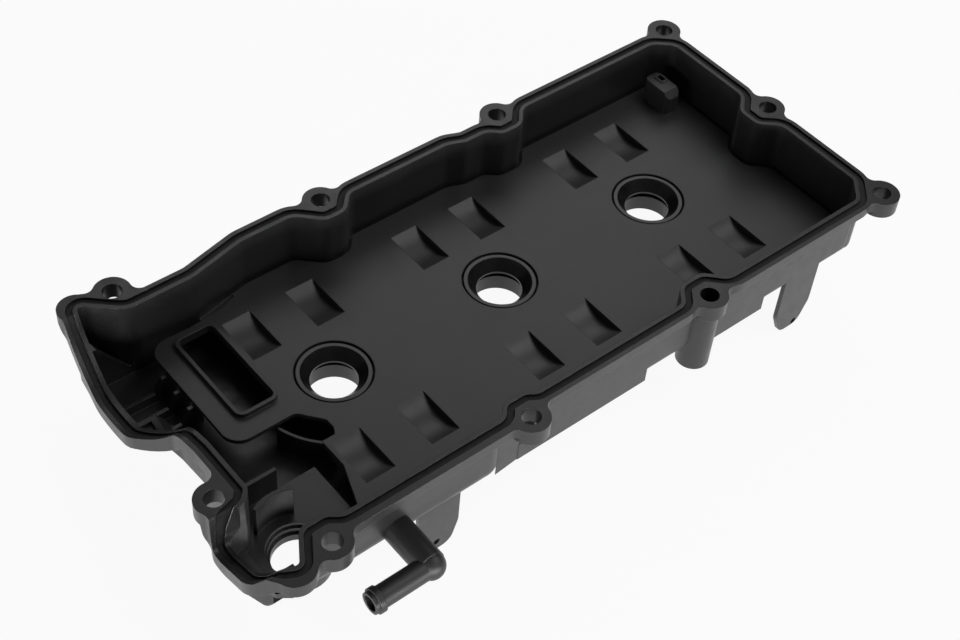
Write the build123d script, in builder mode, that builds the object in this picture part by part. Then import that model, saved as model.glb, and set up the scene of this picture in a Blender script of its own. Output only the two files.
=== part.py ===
# Valve cover for one bank of three cylinders, lying with its open side up.
# X runs along the row of wells, Y across it towards the far side, Z out of the open side.
# Z = 0 is the coil seat round each well on the closed side. All sizes are in millimetres.
import os

from build123d import *

os.makedirs("parts", exist_ok=True)

# Heights
SEAL_FACE = 52.0          # face of the flange that meets the engine
FLANGE_T = 6.0            # flange thickness along the flat stretches
SADDLE_T = 7.5            # flange thickness in the two saddles
EAR_T = 9.5               # bolt bosses are thicker than the flange
BAFFLE_TOP = 22.0
BAFFLE_T = 2.5
SKIN_OUT = 2.0            # outer face of the closed side
SKIN_T = 3.0
SKIN_IN = SKIN_OUT + SKIN_T
BAFFLE_LOW = BAFFLE_TOP - BAFFLE_T

# Rim section, measured outwards from the inner edge
LIP_IN = 2.3
GROOVE_W = 3.6
GROOVE_D = 3.5
LIP_OUT = 2.4
STRIP_W = LIP_IN + GROOVE_W + LIP_OUT
WALL = 3.8                # thickness of the side walls
GASKET_CLEAR = 0.15       # side clearance of the gasket in its groove
GASKET_LOW = 1.3          # gasket top below the sealing face

# Lines of the inner edge of the rim
NEAR_Y = -87.3
NEAR_LEFT_Y = -90.0
RIGHT_X = 186.0
FAR_Y = 74.5
LEFT_X = -193.7

# Bolt holes in the flange
BOLT_R = 5.0
EAR_R = 9.8
BOLTS = [
    (-180.6, 85.2), (-59.7, 79.1), (60.0, 78.5), (190.6, 80.3), (190.9, -5.5),
    (190.9, -92.1), (60.0, -91.2), (-64.8, -97.9), (-180.6, -99.7), (-209.1, -49.9),
]

SADDLE_BOLT = BOLTS[-1]    # this one stands beside the small saddle, clear of its groove
BOLT_ROOM = 1.0           # space round its bolt below the boss

# Round lobes of the flange that carry no bolt, and their radii
NEAR_LOBE = (-201.5, -101.5)
NEAR_LOBE_R = 10.0
FAR_LOBE = (-200.8, 85.5)
FAR_LOBE_R = 9.3

# Wells for the plug tubes
WELL_PITCH = 108.0
WELLS = [(-WELL_PITCH, 0.0), (0.0, 0.0), (WELL_PITCH, 0.0)]
WELL_R = 15.0
TUBE_R = 22.5
WELL_RIM_R = 21.0
SEAL_SEAT_R = 19.9
SEAL_SEAT_Z = 9.5
BAFFLE_HOLE_R = 20.5

# Inner edge of the rim, counter-clockwise: x, y and corner radius of every corner
NEAR_SIDE = [
    (-199.0, -101.5, 3), (-188.5, -85.0, 8), (-174.5, -85.0, 8), (-168.0, NEAR_LEFT_Y, 8),
    (-76.0, NEAR_LEFT_Y, 6), (-70.5, -83.7, 7), (-57.5, -83.7, 7), (-52.5, NEAR_Y, 6),
    (44.0, NEAR_Y, 6), (52.0, -77.0, 9), (67.0, -77.0, 9), (77.0, NEAR_Y, 8),
    (175.5, NEAR_Y, 6),
]
RIGHT_SIDE = [
    (RIGHT_X, -75.5, 6), (RIGHT_X, -21.0, 8), (175.3, -12.0, 8), (175.3, 1.5, 8),
    (RIGHT_X, 11.0, 8), (RIGHT_X, 66.0, 7),
]
FAR_SIDE = [
    (176.0, FAR_Y, 7), (76.0, FAR_Y, 9), (66.5, 64.0, 9), (53.0, 64.0, 9), (46.0, 70.5, 8),
    (32.0, 70.5, 8), (22.0, FAR_Y, 10), (-44.0, FAR_Y, 8), (-53.0, 64.8, 9), (-66.0, 64.8, 9),
    (-79.0, 77.5, 9), (-110.0, 77.5, 15), (-143.0, 70.2, 20), (-181.0, 70.2, 14),
    (-200.3, 87.5, 2.5),
]
LEFT_SIDE = [
    (-206.4, 46.0, 40), (-206.8, 20.0, 8), (-195.5, -4.0, 12), (LEFT_X, -22.0, 20),
    (LEFT_X, -54.0, 6), (-199.0, -59.5, 5), (-211.0, -62.5, 3), (-212.0, -89.0, 6),
    (-205.0, -98.5, 2.5),
]
INNER_EDGE = NEAR_SIDE + RIGHT_SIDE + FAR_SIDE + LEFT_SIDE


def area(corners):
    """Flat area inside a closed outline whose corners are rounded."""
    with BuildSketch() as flat:
        with BuildLine():
            FilletPolyline(
                *[(x, y) for x, y, r in corners], radius=[r for x, y, r in corners], close=True
            )
        make_face()
    return flat.sketch


INSIDE = area(INNER_EDGE)


def rim(grow):
    """Area inside the rim, grown outwards from its inner edge."""
    return offset(INSIDE, amount=grow, mode=Mode.PRIVATE) if grow else INSIDE


def box_between(x0, x1, y0, y1, z0, z1):
    """Box between its six faces."""
    return Pos((x0 + x1) / 2, (y0 + y1) / 2, (z0 + z1) / 2) * Box(x1 - x0, y1 - y0, z1 - z0)


# Saddles: the rim dips where it crosses the two bearing caps at the left end.
# Each one is a shape in the YZ plane that is cut down into the flat sealing face.
SADDLE_1_MID = 37.0
SADDLE_1_R = 55.4
SADDLE_1_RISE = 30.9      # centre of the arc above the sealing face
SADDLE_1_BLEND = 12.0
SADDLE_2 = [
    (-58.5, SEAL_FACE, 1), (-61.0, 34.0, 5), (-69.0, 34.0, 10), (-87.5, 41.5, 12),
    (-94.0, 45.5, 5), (-99.0, SEAL_FACE, 1),
]
END_X = -240.0            # clear of the left end
SADDLE_1_X = -190.0
SADDLE_1_FAR_X = -198.0
SADDLE_2_X = -203.0


def saddle_1(depth):
    """Region above the arched saddle, deepened by depth, as a sketch in the YZ plane."""
    with BuildSketch(Plane.YZ.offset(END_X)) as shape:
        with Locations((SADDLE_1_MID, SEAL_FACE + 20)):
            Rectangle(200, 40)
        with Locations((SADDLE_1_MID, SEAL_FACE + SADDLE_1_RISE)):
            Circle(SADDLE_1_R)
        corners = shape.vertices().filter_by_position(Axis.Y, SEAL_FACE - 0.1, SEAL_FACE + 0.1)
        fillet(corners.sort_by(Axis.X)[1], radius=SADDLE_1_BLEND)
        if depth:
            offset(amount=depth)
    return shape.sketch


def saddle_2(depth):
    """Region above the small saddle, deepened by depth, as a sketch in the YZ plane."""
    top = SEAL_FACE + 30
    with BuildSketch(Plane.YZ.offset(END_X)) as shape:
        with BuildLine():
            run = [(-30.0, SEAL_FACE)] + [(y, z) for y, z, r in SADDLE_2] + [(-130.0, SEAL_FACE)]
            rim = FilletPolyline(*run, radius=[r for y, z, r in SADDLE_2])
            Polyline(rim @ 1, (-130.0, top), (-30.0, top), rim @ 0)
        make_face()
        if depth:
            offset(amount=depth)
    return shape.sketch


def above_seal(depth):
    """Everything that lies above the sealing surface, deepened by depth."""
    flat = box_between(END_X, -END_X, -150, 130, SEAL_FACE - depth, SEAL_FACE + 30)
    arch = extrude(saddle_1(depth), amount=SADDLE_1_X - END_X, dir=(1, 0, 0))
    keep = box_between(SADDLE_1_FAR_X, 0, SADDLE_1_MID, 130, 0, SEAL_FACE + 100)
    notch = extrude(saddle_2(depth), amount=SADDLE_2_X - END_X, dir=(1, 0, 0))
    return flat + (arch - keep) + notch


def band(top, low):
    """Layer that follows the sealing surface between two depths below it."""
    return above_seal(low) - above_seal(top)


# Flange: the rim strip all round, wider along the near side at the left, with a boss at every
# bolt. Bosses and strip run into each other with round corners.
EAR_BLEND = 5.0
WIDE_STRIP = (-168.0, -74.0, -99.5)

with BuildSketch() as flange_plan:
    add(rim(STRIP_W))
    with Locations(((WIDE_STRIP[0] + WIDE_STRIP[1]) / 2, (WIDE_STRIP[2] + NEAR_LEFT_Y) / 2)):
        Rectangle(WIDE_STRIP[1] - WIDE_STRIP[0], NEAR_LEFT_Y - WIDE_STRIP[2])
    with Locations(*BOLTS):
        Circle(EAR_R)
    with Locations(NEAR_LOBE):
        Circle(NEAR_LOBE_R)
    with Locations(FAR_LOBE):
        Circle(FAR_LOBE_R)
    offset(amount=EAR_BLEND)
    offset(amount=-EAR_BLEND)
    add(INSIDE, mode=Mode.SUBTRACT)

with BuildSketch(Plane.XY.offset(SEAL_FACE - EAR_T)) as ear_plan:
    with Locations(*BOLTS):
        Circle(EAR_R)
    add(rim(LIP_IN), mode=Mode.SUBTRACT)

flange_layer = band(0, FLANGE_T)
saddle_layer = band(0, SADDLE_T)
over_seal = above_seal(0)
left_end = box_between(END_X, SADDLE_1_X, -150, 130, 0, SEAL_FACE + 1)

with BuildPart() as flange:
    extrude(flange_plan.sketch, amount=SEAL_FACE)
    add(flange_layer, mode=Mode.INTERSECT)

with BuildPart() as saddle_strip:
    extrude(flange_plan.sketch, amount=SEAL_FACE)
    add(left_end, mode=Mode.INTERSECT)
    add(saddle_layer, mode=Mode.INTERSECT)

with BuildPart() as ears:
    extrude(ear_plan.sketch, amount=EAR_T)
    add(over_seal, mode=Mode.SUBTRACT)

# Body under the flange: a shallow tray whose floor steps down to a deeper middle, a deep pocket
# at the far left, and a round-bottomed trough along the near side at the left.
STEP_OUT = BAFFLE_LOW - 2.5
NEAR_LOW_Y = -80.5
DEEP_X = -150.0
DEEP_RIM = -1.0           # outer face of the deep part, from the inner edge
POCKET_X = -207.5
POCKET_NEAR_Y = -41.0
POCKET_RIGHT_X = -139.0
TROUGH_OUT = 11.0
TROUGH_IN = TROUGH_OUT + SKIN_T
TROUGH_R = 9.0
CORNER_LOW = 17.0
CORNER_FAR_Y = -56.0
CORNER_SLOPE = [(-225.0, 36.0), (-205.3, 13.0), (-225.0, 13.0)]

TRAY = [(-140.0, -86.0, 0), (172.0, -86.0, 0), (172.0, -110.0, 0), (230.0, -110.0, 0),
        (230.0, 100.0, 0), (-140.0, 100.0, 0)]
DEEP = [(DEEP_X, NEAR_LOW_Y, 0), (230.0, NEAR_LOW_Y, 0), (230.0, 100.0, 0), (DEEP_X, 100.0, 0)]
POCKET_SIDE = [(POCKET_RIGHT_X, SKIN_OUT), (-187.5, SKIN_OUT), (-193.5, 17.0), (POCKET_X, 38.0),
               (POCKET_X, SEAL_FACE), (POCKET_RIGHT_X, SEAL_FACE)]
BAY_NEAR = [(32.0, SKIN_OUT), (24.0, 17.0), (24.0, SEAL_FACE), (100.0, SEAL_FACE),
            (100.0, SKIN_OUT)]
HEEL_X = -197.0
HEEL_FAR_Y = -20.0
CORNER = [(-150.0, -41.0, 0), (-197.3, -41.0, 4), (-197.3, -50.0, 6), (-206.0, -57.0, 4),
          (-217.0, -61.0, 6), (-217.8, -85.0, 8), (-211.0, -93.8, 6), (-150.0, -93.8, 0)]
TROUGH = [(-206.5, -93.8, 12), (-73.0, -93.8, 11), (-73.0, -60.0, 11), (-139.0, -38.0, 12),
          (-197.3, -38.0, 11), (-197.3, -52.0, 6), (-205.5, -60.0, 12)]


def level(corners, height, shrink, grow):
    """Area of one level of the body: a shrunk outline kept inside the grown inner edge."""
    whole = area(corners)
    if shrink:
        whole = offset(whole, amount=-shrink, mode=Mode.PRIVATE)
    return Pos(0, 0, height) * (whole & rim(grow))


def block(corners, low, high, grow, round_low):
    """Solid of one level of the body, its lower outer edge rounded."""
    solid = extrude(level(corners, low, 0.0, grow), amount=high - low, dir=(0, 0, 1))
    return fillet(solid.faces().sort_by(Axis.Z)[0].edges(), radius=round_low)


def hollow(corners, low, wall, grow=0.0):
    """Room inside one level, open upwards."""
    return extrude(level(corners, low, wall, grow), amount=SEAL_FACE, dir=(0, 0, 1))


tray_out = block(TRAY, STEP_OUT, SEAL_FACE, WALL, 3.7)
deep_out = block(DEEP, SKIN_OUT, BAFFLE_LOW, DEEP_RIM, 4.0)
corner_out = block(CORNER, CORNER_LOW, SEAL_FACE, STRIP_W, 5.0)
trough_out = block(TROUGH, TROUGH_OUT, SEAL_FACE, 16.0, TROUGH_R)


def pocket(wall, grow):
    """Far-left pocket: two blocks whose outer walls lean outwards, or their rooms inside a wall."""
    with BuildPart() as leaning:
        with BuildSketch(Plane.XZ.offset(-40.0)):
            with BuildLine():
                Polyline(*POCKET_SIDE, close=True)
            make_face()
            if wall:
                offset(amount=-wall)
        extrude(amount=40.0 - POCKET_NEAR_Y - wall)
        with BuildSketch(Plane.YZ.offset(POCKET_X + wall)):
            with BuildLine():
                Polyline(*BAY_NEAR, close=True)
            make_face()
            if wall:
                offset(amount=-wall)
        extrude(amount=POCKET_RIGHT_X - POCKET_X - 2 * wall)
    heel = box_between(HEEL_X + wall, -160.0, POCKET_NEAR_Y + wall, HEEL_FAR_Y - wall,
                       SKIN_OUT + wall, SEAL_FACE)
    return (leaning.part + heel) & extrude(rim(grow), amount=SEAL_FACE, dir=(0, 0, 1))


def under_corner(shift):
    """Wedge below the leaning lower edge of the near-left corner, moved inwards by shift."""
    with BuildPart() as wedge:
        with BuildSketch(Plane.XZ.offset(-CORNER_FAR_Y)):
            with BuildLine():
                Polyline(*[(x + shift, z) for x, z in CORNER_SLOPE], close=True)
            make_face()
        extrude(amount=60.0)
    return wedge.part


pocket_out = pocket(0.0, WALL)
corner_out = corner_out - under_corner(0.0)

tray_room = hollow([(-198.0, -110.0, 0), (230.0, -110.0, 0), (230.0, 100.0, 0),
                    (-142.0, 100.0, 0), (-142.0, -36.0, 0), (-198.0, -36.0, 0)], BAFFLE_LOW, 0.0)
deep_room = hollow(DEEP, SKIN_IN, SKIN_T, DEEP_RIM - SKIN_T)
pocket_room = pocket(SKIN_T, 0.0)
pass_room = box_between(-190.5, POCKET_RIGHT_X - SKIN_T, -45.0, -36.0, TROUGH_IN, BAFFLE_LOW + 1)
corner_room = hollow(CORNER, CORNER_LOW + SKIN_T, 0.0) - under_corner(SKIN_T)
trough_room = hollow(TROUGH, TROUGH_IN, SKIN_T)
under_flange = above_seal(4.0)

# Near wall: straight outside, rounded under, with a thicker band along its foot that stops short
# of the round post.
NEAR_OUT = -91.5
NEAR_LEFT_OUT = -93.8
BAND_TOP = 23.0
BAND_LOW = 11.5

with BuildPart() as near_wall:
    with Locations((-55.0, NEAR_OUT, STEP_OUT)):
        Box(229.0, 12.0, 30.0, align=(Align.MIN, Align.MIN, Align.MIN))
    foot = near_wall.edges().filter_by(Axis.X).group_by(Axis.Z)[0].sort_by(Axis.Y)[0]
    fillet(foot, radius=5.0)
    heel = near_wall.faces().sort_by(Axis.X)[-1].edges().sort_by(Axis.Z)[0]
    fillet(heel, radius=4.0)

with BuildPart() as near_bands:
    for x_from, x_to in ((-64.0, 22.0), (70.0, 107.7)):
        with BuildSketch(Plane.XY.offset(BAND_LOW)):
            with Locations((x_from, NEAR_OUT)):
                Rectangle(x_to - x_from, 14.0, align=(Align.MIN, Align.MIN))
        extrude(amount=BAND_TOP - BAND_LOW)

# Round post on the near side, hanging from the middle bolt boss.
POST = (60.0, -89.0)
POST_R = 9.0
POST_LOW = 2.5

# Filler neck in the near-left corner.
FILLER = (-180.7, -72.5)
FILLER_BORE_R = 13.0
FILLER_STEPS = ((14.2, 7.5), (15.2, 11.0))    # radius of each step and the height of its floor
FILLER_NECK_R = 16.5
FILLER_LOW = 3.2

# Ribs of the far-left pocket; their tops ramp up to the underside of the baffle.
RIB_T = 2.0
RIB_TOP = 11.0
RIB_YS = (72.0, 48.5, 36.3, 24.0)
RIB_END_X = -178.6

with BuildPart() as pocket_ribs:
    for y in RIB_YS:
        with BuildSketch(Plane.XZ.offset(-y - RIB_T / 2)):
            with BuildLine():
                Polyline((POCKET_X + 1, SKIN_OUT + 1), (POCKET_X + 1, RIB_TOP),
                         (RIB_END_X - 4, RIB_TOP), (RIB_END_X, BAFFLE_LOW),
                         (RIB_END_X + 8, BAFFLE_LOW), (RIB_END_X + 8, SKIN_OUT + 1), close=True)
            make_face()
        extrude(amount=RIB_T)

# Gusset in the far-left corner: its hollow top edge runs from under the lip to the first rib
GUSSET_T = 4.0
GUSSET_TOP = (-204.5, 43.0)
GUSSET_MID = (-195.3, 26.5)
GUSSET_END = (-183.8, RIB_TOP)

with BuildPart() as gusset:
    with BuildSketch(Plane.XZ.offset(-RIB_YS[0] - GUSSET_T + RIB_T / 2)):
        with BuildLine():
            ThreePointArc(GUSSET_TOP, GUSSET_MID, GUSSET_END)
            Polyline(GUSSET_END, (GUSSET_END[0], SKIN_OUT + 1), (GUSSET_TOP[0], SKIN_OUT + 1),
                     GUSSET_TOP)
        make_face()
    extrude(amount=GUSSET_T)

pocket_inner = (pocket_ribs.part + gusset.part) & pocket_out

# Ribs and guard walls of the near-left pocket: a rib across it, a curved guard round the filler
# hole and a curved wall round the left well.
GUARD_R = 20.5
GUARD_T = 2.0
GUARD_TOP = 33.0
WELL_WALL_R = 42.6
WELL_WALL_T = 1.6


def arc_wall(centre, radius, thick, start, sweep, low, high):
    """Upright wall along part of a circle, angles in degrees."""
    with BuildPart() as wall:
        with BuildSketch(Plane.XY.offset(low)):
            with BuildLine():
                inner = CenterArc(centre, radius, start, sweep)
                outer = CenterArc(centre, radius + thick, start, sweep)
                Line(inner @ 0, outer @ 0)
                Line(inner @ 1, outer @ 1)
            make_face()
        extrude(amount=high - low)
    return wall.part


guard = arc_wall(FILLER, GUARD_R, GUARD_T, 60, 60, TROUGH_OUT + 1, GUARD_TOP)
well_guard = arc_wall(WELLS[0], WELL_WALL_R, WELL_WALL_T, 195, 39, SKIN_OUT + 1, BAFFLE_LOW)
cross_rib = box_between(-194.5, -169.0, -39.0, -37.0, SKIN_OUT + 1, 30.0)

# Hanging brackets: flat plates with a round foot, a screw hole and one stiffening web
BRACKET_T = 2.5
BRACKET_TOP = 24.0
BRACKET_KNEE = -8.0
BRACKET_LOW = -22.5
BRACKET_HOLE_R = 2.0
BRACKETS = [
    ((125.0, 125.0, 131.0, 145.0, 151.0, 151.0), (142.0, -20.0)),
    ((-126.0, -123.0, -118.0, -104.0, -99.5, -99.5), (-112.5, -16.5)),
]

with BuildPart() as brackets:
    for (x_top, x_knee, x_low, x_low_2, x_knee_2, x_top_2), hole in BRACKETS:
        with BuildSketch(Plane.XZ.offset(-NEAR_OUT - BRACKET_T)):
            with BuildLine():
                FilletPolyline((x_top, BRACKET_TOP), (x_knee, BRACKET_KNEE),
                               (x_low, BRACKET_LOW), (x_low_2, BRACKET_LOW),
                               (x_knee_2, BRACKET_KNEE), (x_top_2, BRACKET_TOP),
                               radius=[2, 10, 7, 7, 10, 2], close=True)
            make_face()
            with Locations(hole):
                Circle(BRACKET_HOLE_R, mode=Mode.SUBTRACT)
        extrude(amount=BRACKET_T)

# Bosses for the coil screws on the closed side
COIL_BOSS_R = 6.5
COIL_BOSS_LOW = -2.0
COIL_BOSS_TOP = 13.0
INSERT_R = 4.0
INSERT_LEN = 10.0
COIL_SCREWS = [(x + 14.0, y + 30.0) for x, y in WELLS]

# Groove for the gasket, cut all round into the sealing face
groove_run = extrude(rim(LIP_IN + GROOVE_W) - rim(LIP_IN), amount=SEAL_FACE + 1, dir=(0, 0, 1))
groove = groove_run & above_seal(GROOVE_D)

UP = (Align.CENTER, Align.CENTER, Align.MIN)

# The moulding, put together from its walls, then cut open
with BuildPart() as cover:
    add(tray_out)
    add(deep_out)
    add(pocket_out)
    add(corner_out)
    add(trough_out)
    add(near_wall.part)
    add(near_bands.part)
    with Locations((POST[0], POST[1], POST_LOW)):
        Cylinder(POST_R, SEAL_FACE - POST_LOW, align=UP)
    with Locations((FILLER[0], FILLER[1], FILLER_LOW)):
        Cylinder(FILLER_NECK_R, TROUGH_OUT - FILLER_LOW + 1, align=UP)
    add([tray_room, deep_room, pocket_room, pass_room, corner_room, trough_room],
        mode=Mode.SUBTRACT)
    add(pocket_inner)
    add([guard, well_guard, cross_rib])
    add(under_flange, mode=Mode.SUBTRACT)
    add(brackets.part)
    add(flange.part)
    add(saddle_strip.part)
    add(ears.part)
    for x, y in WELLS:
        with Locations((x, y, 0)):
            Cylinder(WELL_RIM_R, SKIN_IN, align=UP)
            Cylinder(TUBE_R, BAFFLE_LOW - SKIN_OUT, align=UP)
    with Locations(*[(x, y, COIL_BOSS_LOW) for x, y in COIL_SCREWS]):
        Cylinder(COIL_BOSS_R, COIL_BOSS_TOP - COIL_BOSS_LOW, align=UP)
    with Locations(*[(x, y, COIL_BOSS_LOW) for x, y in COIL_SCREWS]):
        Cylinder(INSERT_R, INSERT_LEN, align=UP, mode=Mode.SUBTRACT)
    with Locations(*[(x, y, SEAL_SEAT_Z) for x, y in WELLS]):
        Cylinder(SEAL_SEAT_R, 20, align=UP, mode=Mode.SUBTRACT)
    with Locations(*[(x, y, -1) for x, y in WELLS]):
        Cylinder(WELL_R, 20, align=UP, mode=Mode.SUBTRACT)
    with Locations((FILLER[0], FILLER[1], 0)):
        Cylinder(FILLER_BORE_R, TROUGH_IN, align=UP, mode=Mode.SUBTRACT)
    for radius, floor in FILLER_STEPS:
        with Locations((FILLER[0], FILLER[1], floor)):
            Cylinder(radius, TROUGH_IN - floor, align=UP, mode=Mode.SUBTRACT)
    with Locations(*[(x, y, SEAL_FACE - 20) for x, y in BOLTS]):
        Cylinder(BOLT_R, 30, align=UP, mode=Mode.SUBTRACT)
    with Locations((SADDLE_BOLT[0], SADDLE_BOLT[1], SEAL_FACE - EAR_T)):
        Cylinder(BOLT_R + BOLT_ROOM, 30, align=(Align.CENTER, Align.CENTER, Align.MAX),
                 mode=Mode.SUBTRACT)
    add(groove, mode=Mode.SUBTRACT)

cover.part.label = "cover_shell"
export_step(cover.part, "parts/cover_shell.step")

# Gasket: a cord that lies in the groove and stays just below the lips
gasket_run = extrude(rim(LIP_IN + GROOVE_W - GASKET_CLEAR) - rim(LIP_IN + GASKET_CLEAR),
                     amount=SEAL_FACE, dir=(0, 0, 1))
perimeter_gasket = gasket_run & band(GASKET_LOW, GROOVE_D)
perimeter_gasket.label = "perimeter_gasket"
export_step(perimeter_gasket, "parts/perimeter_gasket.step")

# Seals of the plug tubes: rubber rings with a cone that leads the tube in
for number, (x, y) in enumerate(WELLS, start=1):
    with BuildPart() as seal:
        with BuildSketch(Plane.XZ):
            with BuildLine():
                Polyline((19.7, 9.5), (19.7, 21.0), (19.2, 21.5), (17.2, 21.5), (12.4, 15.5),
                         (12.4, 14.3), (15.5, 13.0), (16.5, 12.0), (16.5, 9.5), close=True)
            make_face()
        revolve(axis=Axis.Z)
    tube_seal = Pos(x, y, 0) * seal.part
    tube_seal.label = f"tube_seal_{number}"
    export_step(tube_seal, f"parts/tube_seal_{number}.step")

# Threaded brass inserts for the coil screws
with BuildPart() as coil_inserts:
    with Locations(*[(x, y, COIL_BOSS_LOW) for x, y in COIL_SCREWS]):
        Cylinder(INSERT_R, INSERT_LEN - 1.5, align=UP)
        Cylinder(2.5, INSERT_LEN - 1.5, align=UP, mode=Mode.SUBTRACT)
coil_inserts.part.label = "coil_inserts"
export_step(coil_inserts.part, "parts/coil_inserts.step")

# Baffle: a flat plate that closes the deep middle, with a pressed pocket over every cam lobe,
# a hole over every well and a framed opening at the left
BAFFLE_GAP = 1.8          # from the plate to the side walls
LOBE_R = 24.0
LOBE_RISE = 19.0          # axis of each pocket above the plate
LOBE_SKIN = 2.5
LOBE_YS = (44.0, -51.0)
LOBE_XS = ((-28.15, -11.18), (10.99, 28.05))
BAFFLE_LEFT = [(-150.0, -100.0, 0), (230.0, -100.0, 0), (230.0, 110.0, 0), (-120.0, 110.0, 0),
               (-120.0, 72.0, 0), (-130.0, 68.5, 6), (-150.0, 66.7, 6), (-174.8, 67.6, 10),
               (-174.8, -10.6, 10), (-139.0, -10.6, 6), (-129.0, -23.0, 3),
               (-129.0, -29.0, 3), (-133.6, -37.0, 5), (-146.7, -72.0, 10)]
OPENING = (-161.5, -141.0, 3.0, 60.5)
OPENING_R = 3.0
OPENING_LIP = 2.0
OPENING_LIP_H = 2.5
PILLAR = (170.2, 56.5)    # oblong stop near the far right corner
PILLAR_SIZE = (10.5, 20.5)
PILLAR_H = 15.0
PILLAR_R = 3.0
PILLAR_BEVEL = 4.0
SLOT = (3.0, 5.0)
SLOT_RIM = 1.2
SLOT_DEPTH = 3.0

baffle_area = area(BAFFLE_LEFT) & rim(-BAFFLE_GAP)
lobes = [(x + x0, x + x1, y) for x, _ in WELLS for x0, x1 in LOBE_XS for y in LOBE_YS]
opening_mid = ((OPENING[0] + OPENING[1]) / 2, (OPENING[2] + OPENING[3]) / 2)
opening_size = (OPENING[1] - OPENING[0], OPENING[3] - OPENING[2])


def trough_piece(x0, x1, y, radius):
    """Lying cylinder over one lobe pocket."""
    place = Pos((x0 + x1) / 2, y, BAFFLE_TOP + LOBE_RISE) * Rot(0, 90, 0)
    return place * Cylinder(radius, x1 - x0)


bulges = [trough_piece(x0 - LOBE_SKIN, x1 + LOBE_SKIN, y, LOBE_R + LOBE_SKIN)
          for x0, x1, y in lobes]
pockets = [trough_piece(x0, x1, y, LOBE_R) for x0, x1, y in lobes]
above_plate = box_between(END_X, -END_X, -150, 130, BAFFLE_TOP, 120)

with BuildPart() as pillar:
    with BuildSketch(Plane.XY.offset(BAFFLE_LOW)):
        with Locations(PILLAR):
            RectangleRounded(*PILLAR_SIZE, PILLAR_R)
    extrude(amount=BAFFLE_T + PILLAR_H)
    with BuildSketch(Plane.YZ.offset(PILLAR[0] - PILLAR_SIZE[0] / 2)):
        with BuildLine():
            Polyline(*[(PILLAR[1] - PILLAR_SIZE[1] / 2 + y, BAFFLE_TOP + PILLAR_H + z)
                       for y, z in ((0, -PILLAR_BEVEL), (PILLAR_BEVEL, 0), (0, 0))], close=True)
        make_face()
    extrude(amount=PILLAR_SIZE[0], mode=Mode.SUBTRACT)
    pillar_top = Plane.XY.offset(BAFFLE_TOP + PILLAR_H)
    with BuildSketch(pillar_top):
        with Locations((PILLAR[0] + 2.0, PILLAR[1] + 4.0)):
            RectangleRounded(SLOT[0] + 2 * SLOT_RIM, SLOT[1] + 2 * SLOT_RIM, SLOT_RIM + 0.5)
    extrude(amount=0.8)
    with BuildSketch(pillar_top):
        with Locations((PILLAR[0] + 2.0, PILLAR[1] + 4.0)):
            RectangleRounded(*SLOT, 0.5)
    extrude(amount=SLOT_DEPTH, both=True, mode=Mode.SUBTRACT)

with BuildPart() as baffle:
    add(bulges)
    add(above_plate, mode=Mode.SUBTRACT)
    extrude(Pos(0, 0, BAFFLE_LOW) * baffle_area, amount=BAFFLE_T, dir=(0, 0, 1))
    with BuildSketch(Plane.XY.offset(BAFFLE_LOW)):
        with Locations(opening_mid):
            RectangleRounded(opening_size[0] + 2 * OPENING_LIP, opening_size[1] + 2 * OPENING_LIP,
                             OPENING_R + OPENING_LIP)
    extrude(amount=BAFFLE_T + OPENING_LIP_H)
    add(pillar.part)
    add(pockets, mode=Mode.SUBTRACT)
    with BuildSketch(Plane.XY):
        with Locations(opening_mid):
            RectangleRounded(*opening_size, OPENING_R)
    extrude(amount=60, mode=Mode.SUBTRACT)
    with Locations(*[(x, y, 0) for x, y in WELLS]):
        Cylinder(BAFFLE_HOLE_R, 60, align=UP, mode=Mode.SUBTRACT)
baffle.part.label = "baffle_plate"
export_step(baffle.part, "parts/baffle_plate.step")

# Breather elbow: a stub that leaves the near wall and turns to the left, with a hose bead
ELBOW_X = -139.5
ELBOW_Z = 20.0
ELBOW_Y = -119.0
ELBOW_R1 = 7.6
ELBOW_R2 = 5.7
ELBOW_BORE = 4.2
ELBOW_END = -174.0

with BuildPart() as elbow:
    with Locations(Location((ELBOW_X, NEAR_LEFT_OUT, ELBOW_Z), (90, 0, 0))):
        Cylinder(ELBOW_R1, NEAR_LEFT_OUT - ELBOW_Y, align=UP)
    with Locations((ELBOW_X, ELBOW_Y, ELBOW_Z)):
        Sphere(ELBOW_R1 - 0.4)
    with Locations(Location((ELBOW_X, ELBOW_Y, ELBOW_Z), (0, -90, 0))):
        Cylinder(ELBOW_R2, ELBOW_X - ELBOW_END, align=UP)
    with Locations(Location((ELBOW_END + 5, ELBOW_Y, ELBOW_Z), (0, -90, 0))):
        Cylinder(ELBOW_R2 + 1, 3, align=UP)
    with Locations(Location((ELBOW_X, ELBOW_Y, ELBOW_Z), (0, -90, 0))):
        Cylinder(ELBOW_BORE, 80, align=UP, mode=Mode.SUBTRACT)
    with Locations(Location((ELBOW_X, ELBOW_Y, ELBOW_Z), (-90, 0, 0))):
        Cylinder(ELBOW_BORE, 60, align=UP, mode=Mode.SUBTRACT)
elbow.part.label = "breather_elbow"
export_step(elbow.part, "parts/breather_elbow.step")
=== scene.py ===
import math

import bpy
import numpy as np
from mathutils import Matrix, Vector


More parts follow.
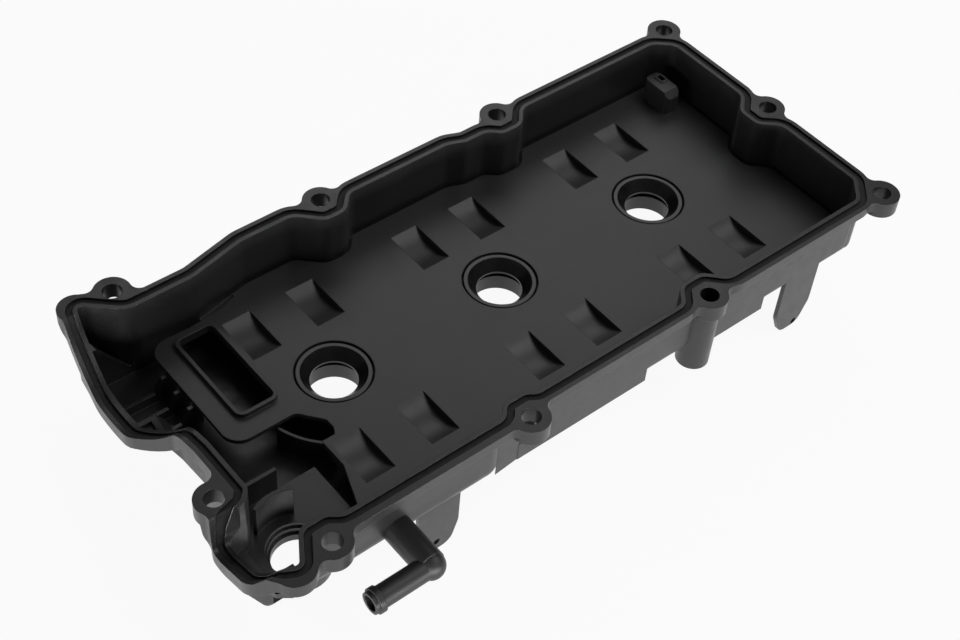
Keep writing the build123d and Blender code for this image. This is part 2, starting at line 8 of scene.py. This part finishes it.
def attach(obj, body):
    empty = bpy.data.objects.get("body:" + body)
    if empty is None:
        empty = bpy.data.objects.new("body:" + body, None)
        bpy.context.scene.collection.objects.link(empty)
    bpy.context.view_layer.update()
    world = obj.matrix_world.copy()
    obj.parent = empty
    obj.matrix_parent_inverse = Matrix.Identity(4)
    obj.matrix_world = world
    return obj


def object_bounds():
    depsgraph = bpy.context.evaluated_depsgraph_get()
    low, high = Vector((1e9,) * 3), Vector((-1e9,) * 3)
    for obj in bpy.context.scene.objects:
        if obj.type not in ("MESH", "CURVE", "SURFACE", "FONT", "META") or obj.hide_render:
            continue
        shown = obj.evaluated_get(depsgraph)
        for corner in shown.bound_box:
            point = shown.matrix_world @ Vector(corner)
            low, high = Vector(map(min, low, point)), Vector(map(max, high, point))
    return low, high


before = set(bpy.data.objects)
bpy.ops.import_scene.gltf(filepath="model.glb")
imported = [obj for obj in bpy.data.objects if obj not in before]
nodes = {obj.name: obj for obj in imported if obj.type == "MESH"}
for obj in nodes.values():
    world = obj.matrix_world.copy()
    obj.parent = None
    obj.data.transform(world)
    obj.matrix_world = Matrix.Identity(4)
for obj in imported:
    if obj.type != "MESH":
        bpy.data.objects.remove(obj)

cad_low, cad_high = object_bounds()


# Cover shell: the one-piece tray with its flange, saddles, bosses, post and brackets.
# Injection moulded in black glass-filled nylon. The skin is satin with a fine eroded grain,
# cloudy flow marks, a little dry dust, and edges rubbed paler where it was handled.

class Wire:
    """A shader value: sums written with it add Math nodes to its material."""

    def __init__(self, tree, socket):
        self.tree = tree
        self.socket = socket

    def sums(self, operation, *values):
        """A Math node on values or wires; a MULTIPLY_ADD is kept between 0 and 1."""
        node = self.tree.nodes.new("ShaderNodeMath")
        node.operation = operation
        node.use_clamp = operation == "MULTIPLY_ADD"
        for place, value in enumerate(values):
            if isinstance(value, Wire):
                self.tree.links.new(value.socket, node.inputs[place])
            else:
                node.inputs[place].default_value = value
        return Wire(self.tree, node.outputs[0])

    def __add__(self, other):
        return self.sums("ADD", self, other)

    __radd__ = __add__

    def __mul__(self, other):
        return self.sums("MULTIPLY", self, other)

    __rmul__ = __mul__

    def __sub__(self, other):
        return self.sums("SUBTRACT", self, other)

    def __rsub__(self, other):
        return self.sums("SUBTRACT", other, self)

    def node(self, kind, settings=(), out=0, **inputs):
        """Any other node: its type, its settings, and values or wires for its sockets."""
        made = self.tree.nodes.new(kind)
        for name, value in dict(settings).items():
            setattr(made, name, value)
        for name, value in inputs.items():
            socket = made.inputs[name.replace("_", " ")]
            if isinstance(value, Wire):
                self.tree.links.new(value.socket, socket)
            else:
                socket.default_value = value
        return Wire(self.tree, made.outputs[out])

    def axes(self):
        """The three parts of a vector."""
        made = self.tree.nodes.new("ShaderNodeSeparateXYZ")
        self.tree.links.new(self.socket, made.inputs[0])
        return [Wire(self.tree, made.outputs[place]) for place in range(3)]


def finish_of(name, build):
    """A new material whose nodes build() makes from its object coordinates, in metres."""
    material = bpy.data.materials.new(name)
    material.use_nodes = True
    tree = material.node_tree
    tree.nodes.clear()
    place = Wire(tree, tree.nodes.new("ShaderNodeTexCoord").outputs["Object"])
    surface = build(place)
    output = tree.nodes.new("ShaderNodeOutputMaterial")
    tree.links.new(surface.socket, output.inputs["Surface"])
    return material


def dress(name, material):
    """Gives a piece of the frame its finish."""
    piece = nodes[name]
    piece.data.materials.clear()
    piece.data.materials.append(material)


def noise(place, scale, detail=3.0, distortion=0.0):
    return place.node("ShaderNodeTexNoise", Vector=place, Scale=scale, Detail=detail,
                      Distortion=distortion)


def step_up(value, start, width):
    """0 below start, 1 above start + width, straight in between."""
    return value.sums("MULTIPLY_ADD", value, 1.0 / width, -start / width)


def blend(share, first, second):
    """Colour between two colours or colour wires, by a share from 0 to 1."""
    made = share.tree.nodes.new("ShaderNodeMix")
    made.data_type = "RGBA"
    share.tree.links.new(share.socket, made.inputs["Factor"])
    for name, colour in (("A", first), ("B", second)):
        socket = [s for s in made.inputs if s.name == name and s.type == "RGBA"][0]
        if isinstance(colour, Wire):
            share.tree.links.new(colour.socket, socket)
        else:
            socket.default_value = (*colour, 1)
    result = [s for s in made.outputs if s.type == "RGBA"][0]
    return Wire(share.tree, result)


def rubbed(place, radius):
    """Softened normal, and how far it leans from the flat one: 0 on faces, 1 on edges."""
    soft = place.node("ShaderNodeBevel", {"samples": 5}, Radius=radius)
    flat = Wire(place.tree, place.tree.nodes.new("ShaderNodeNewGeometry").outputs["Normal"])
    lean = place.tree.nodes.new("ShaderNodeVectorMath")
    lean.operation = "DOT_PRODUCT"
    place.tree.links.new(soft.socket, lean.inputs[0])
    place.tree.links.new(flat.socket, lean.inputs[1])
    share = step_up(1.0 - Wire(place.tree, lean.outputs["Value"]), 0.02, 0.22)
    return soft, share


# Noise cells per metre of the moulded skin, from wide clouds to the grain of the tool
CLOUD_SCALE = 28.0
FLOW_SCALE = 75.0
SPECK_SCALE = 900.0
GRAIN_SCALE = 3200.0

# Depth of the grain in metres, and the largest share of dust and of wear in the colour
GRAIN_DEPTH = 0.00015
DUST_MOST = 0.35
WORN_MOST = 0.75


def moulded(dark, light, worn, rough, grain, streak=0.30, edge=0.0005, sheen=0.0):
    """Moulded plastic: cloudy colour, streaked gloss, fine grain, dust, and rubbed edges."""
    def build(place):
        cloud = noise(place, CLOUD_SCALE, detail=5.0)
        flow = noise(place, FLOW_SCALE, detail=5.0, distortion=1.6)
        speck = noise(place, SPECK_SCALE)
        fine = noise(place, GRAIN_SCALE, detail=2.0)
        soft, edges = rubbed(place, edge)
        body = blend(cloud * 0.65 + flow * 0.35, dark, light)
        dust = (step_up(speck, start=0.60, width=0.2) * step_up(cloud, start=0.42, width=0.25)
                * DUST_MOST)
        dusty = blend(dust, body, worn)
        colour = blend(edges * step_up(flow, start=0.30, width=0.35) * WORN_MOST, dusty, worn)
        relief = fine * 0.7 + speck * 0.3
        bump = place.node("ShaderNodeBump", Strength=grain, Distance=GRAIN_DEPTH, Height=relief,
                          Normal=soft)
        gloss = rough + (flow - 0.5) * streak + dust * 0.3 - edges * 0.06
        return place.node("ShaderNodeBsdfPrincipled", Base_Color=colour, Roughness=gloss,
                          Normal=bump, Specular_IOR_Level=0.55, Sheen_Weight=sheen,
                          Sheen_Roughness=0.45)
    return build


shell_finish = finish_of("shell_nylon", moulded(
    dark=(0.008, 0.008, 0.0085), light=(0.016, 0.016, 0.017), worn=(0.075, 0.075, 0.078),
    rough=0.36, grain=0.35, sheen=0.06))
dress("cover_shell", shell_finish)


# Wall webs: three short stretches of the shell's own wall under the flange: below the arched
# saddle, in the near-left lobe and beside the second near boss. They are one moulding with
# the shell and have its finish.

MM = 0.001


def web(name, outline, top, thick, rise=0.0):
    """Plate over a flat outline, in mm. The height of its upper face is top plus rise times the
    distance in y from the first corner, and its lower face lies thick below that."""
    x, y = np.array(outline).T
    high = top + rise * np.abs(y - y[0])
    points = np.concatenate([np.stack([x, y, high], 1), np.stack([x, y, high - thick], 1)])
    count = len(x)
    turn = np.arange(count)
    after = (turn + 1) % count
    sides = np.stack([turn, turn + count, after + count, after], 1)
    mesh = bpy.data.meshes.new(name)
    mesh.from_pydata((points * MM).tolist(), [],
                     [turn.tolist(), (turn + count)[::-1].tolist()] + sides.tolist())
    mesh.materials.append(shell_finish)
    piece = bpy.data.objects.new(name, mesh)
    bpy.context.scene.collection.objects.link(piece)
    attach(piece, "root")


web("saddle_web", [(-196.0, 27.0), (-210.4, 27.0), (-210.4, 19.0), (-203.6, 5.0), (-196.5, 5.0)],
    top=22.0, thick=3.0, rise=0.318)
web("lobe_web", [(-196.0, -91.3), (-213.5, -91.3), (-211.0, -100.0), (-205.0, -104.5),
                 (-200.0, -104.0), (-196.0, -99.0)], top=38.5, thick=3.0)
web("boss_web", [(-79.0, -92.5), (-63.5, -91.3), (-63.5, -86.5), (-69.0, -84.9), (-70.6, -84.9),
                 (-76.4, -90.6)], top=46.5, thick=34.5)


# Baffle plate: the flat oil separator lid, with its pressed lobes, frame and pillar.
# Moulded in the same nylon from a smoother tool, so it is a shade greyer and more even.
# It is welded to the shell round its rim.

dress("baffle_plate", finish_of("baffle_nylon", moulded(
    dark=(0.021, 0.021, 0.022), light=(0.033, 0.033, 0.034), worn=(0.085, 0.085, 0.088),
    rough=0.43, grain=0.30, streak=0.10, edge=0.0006, sheen=0.05)))


# Perimeter gasket: one moulded ring of black rubber cord, pressed into the flange groove.
# Dull, with a bloom of talc that leaves it slightly mottled.

def cord_rubber(place):
    bloom = noise(place, 220.0, detail=4.0, distortion=0.8)
    skin = noise(place, 2400.0, detail=2.0)
    colour = blend(step_up(bloom, start=0.40, width=0.35), (0.006, 0.006, 0.006),
                   (0.017, 0.017, 0.0165))
    bump = place.node("ShaderNodeBump", Strength=0.2, Distance=0.0001, Height=skin)
    return place.node("ShaderNodeBsdfPrincipled", Base_Color=colour,
                      Roughness=0.62 + bloom * 0.15, Normal=bump, Specular_IOR_Level=0.4)


dress("perimeter_gasket", finish_of("gasket_rubber", cord_rubber))


# Plug tube seals: three rubber rings, moulded on a steel core and pressed into the wells.
# Their cones are glossy, with the fine rings that the turned mould leaves.

WELL_PITCH = 0.108
RING_PITCH = 0.0007


def seal_rubber(place):
    x, y, _ = place.axes()
    across = x - x.sums("ROUND", x * (1.0 / WELL_PITCH)) * WELL_PITCH
    radius = across.sums("SQRT", across * across + y * y)
    rings = radius.sums("SINE", radius * (2 * math.pi / RING_PITCH))
    bloom = noise(place, 160.0, detail=4.0, distortion=0.6)
    skin = noise(place, 1800.0, detail=2.0)
    soft, edges = rubbed(place, radius=0.0005)
    colour = blend(step_up(bloom, start=0.35, width=0.4), (0.0055, 0.0055, 0.006),
                   (0.012, 0.012, 0.0125))
    bump = place.node("ShaderNodeBump", Strength=0.12, Distance=0.0001,
                      Height=rings * 0.35 + skin * 0.5, Normal=soft)
    return place.node("ShaderNodeBsdfPrincipled", Base_Color=colour,
                      Roughness=0.24 + bloom * 0.14 + edges * 0.08, Normal=bump,
                      Specular_IOR_Level=0.6)


seal_finish = finish_of("seal_rubber", seal_rubber)
for number in (1, 2, 3):
    dress(f"tube_seal_{number}", seal_finish)


# Breather elbow: the hose stub on the near side, moulded in unfilled nylon and welded on.
# Smoother than the shell, and duller.

dress("breather_elbow", finish_of("elbow_nylon", moulded(
    dark=(0.010, 0.010, 0.0105), light=(0.019, 0.019, 0.020), worn=(0.08, 0.08, 0.083),
    rough=0.47, grain=0.22, edge=0.0007)))


# Coil inserts: three threaded brass bushes, pressed hot into the bosses on the closed side.
# Turned end faces, a cut thread inside, and a dull tarnish.

THREAD_PITCH = 0.0008


def turned_brass(place):
    _, _, z = place.axes()
    thread = z.sums("SINE", z * (2 * math.pi / THREAD_PITCH))
    tarnish = noise(place, 420.0, detail=5.0, distortion=0.7)
    scratch = noise(place, 5200.0, detail=2.0)
    colour = blend(step_up(tarnish, start=0.35, width=0.4), (0.62, 0.44, 0.20),
                   (0.36, 0.25, 0.12))
    bump = place.node("ShaderNodeBump", Strength=0.5, Distance=0.0003,
                      Height=thread * 0.5 + scratch * 0.15)
    return place.node("ShaderNodeBsdfPrincipled", Base_Color=colour, Metallic=1.0,
                      Roughness=0.26 + tarnish * 0.22, Normal=bump)


dress("coil_inserts", finish_of("insert_brass", turned_brass))


# Floor: plain white paper under the part. It shows as white and keeps the part's shadow.

FLOOR_HALF = 6.0
WHITE_SHARE = 0.93


def pale_paper(place):
    ray = place.tree.nodes.new("ShaderNodeLightPath")
    seen, glossy, through = [Wire(place.tree, ray.outputs[name]) for name in
                             ("Is Camera Ray", "Is Glossy Ray", "Is Transmission Ray")]
    paper = place.node("ShaderNodeBsdfDiffuse", Color=(0.9, 0.9, 0.9, 1))
    glow = place.node("ShaderNodeEmission", Color=(1, 1, 1, 1), Strength=1.0)
    mix = place.tree.nodes.new("ShaderNodeMixShader")
    share = (seen + glossy + through) * WHITE_SHARE
    for socket, wire in zip(mix.inputs, (share, paper, glow)):
        place.tree.links.new(wire.socket, socket)
    return Wire(place.tree, mix.outputs[0])


floor_z = cad_low[2]
floor_mesh = bpy.data.meshes.new("floor")
floor_mesh.from_pydata([(-FLOOR_HALF, -FLOOR_HALF, floor_z), (FLOOR_HALF, -FLOOR_HALF, floor_z),
                        (FLOOR_HALF, FLOOR_HALF, floor_z), (-FLOOR_HALF, FLOOR_HALF, floor_z)],
                       [], [(0, 1, 2, 3)])
floor = bpy.data.objects.new("floor", floor_mesh)
bpy.context.scene.collection.objects.link(floor)
floor_mesh.materials.append(finish_of("floor_paper", pale_paper))


# Studio: a dim white room with four soft boxes. One hangs behind on the right and one above,
# and two long low ones stand just off the floor at the near side and at the left, so that the
# outer walls are light while the tray inside stays dark.

ROOM_LIGHT = 0.08

world = bpy.data.worlds.new("studio")
bpy.context.scene.world = world
world.use_nodes = True
tree = world.node_tree
tree.nodes.clear()
seen = Wire(tree, tree.nodes.new("ShaderNodeLightPath").outputs["Is Camera Ray"])
back = tree.nodes.new("ShaderNodeBackground")
back.inputs["Color"].default_value = (1, 1, 1, 1)
tree.links.new(seen.sums("MAXIMUM", seen, ROOM_LIGHT).socket, back.inputs["Strength"])
tree.links.new(back.outputs[0], tree.nodes.new("ShaderNodeOutputWorld").inputs["Surface"])


def soft_box(name, where, aim, size, power):
    """Area light of some watts at a place, turned to a point, all lengths in metres."""
    data = bpy.data.lights.new(name, "AREA")
    data.shape = "RECTANGLE"
    data.size, data.size_y = size
    data.energy = power
    box = bpy.data.objects.new(name, data)
    box.location = where
    box.rotation_euler = (Vector(aim) - Vector(where)).to_track_quat("-Z", "Y").to_euler()
    bpy.context.scene.collection.objects.link(box)


soft_box("back_box", (0.62, 0.82, 0.95), (0, 0, 0), (1.1, 0.8), 3.6)
soft_box("top_box", (0.56, -0.40, 1.08), (0, 0, 0), (0.9, 0.7), 5.0)
soft_box("near_box", (-0.35, -1.25, 0.06), (-0.02, -0.08, 0.03), (1.9, 0.13), 22)
soft_box("left_box", (-1.35, -0.25, 0.06), (-0.15, 0.0, 0.03), (1.3, 0.13), 12)


# Camera: the photograph's view, worked out from the 108 mm pitch of the wells.

FOCAL_PX = 1647.68
FRAME_PX = 960.0
SENSOR_MM = 36.0
TURN, RISE, TILT = math.radians(-43.068), math.radians(47.454), math.radians(5.296)
AIM = Vector((-0.0268349, -0.0160816, 0.022))
DISTANCE = 0.8531538

away = Vector((math.sin(TURN) * math.cos(RISE), -math.cos(TURN) * math.cos(RISE),
               math.sin(RISE)))
side = Vector((math.cos(TURN), math.sin(TURN), 0))
top = away.cross(side)
side_tilted = side * math.cos(TILT) + top * math.sin(TILT)
top_tilted = top * math.cos(TILT) - side * math.sin(TILT)
camera_data = bpy.data.cameras.new("camera")
camera_data.sensor_width = SENSOR_MM
camera_data.lens = FOCAL_PX * SENSOR_MM / FRAME_PX
camera = bpy.data.objects.new("camera", camera_data)
turned = Matrix((side_tilted, top_tilted, away)).transposed()
camera.matrix_world = Matrix.Translation(AIM + away * DISTANCE) @ turned.to_4x4()
bpy.context.scene.collection.objects.link(camera)
bpy.context.scene.camera = camera
bpy.context.scene.view_settings.view_transform = "Standard"
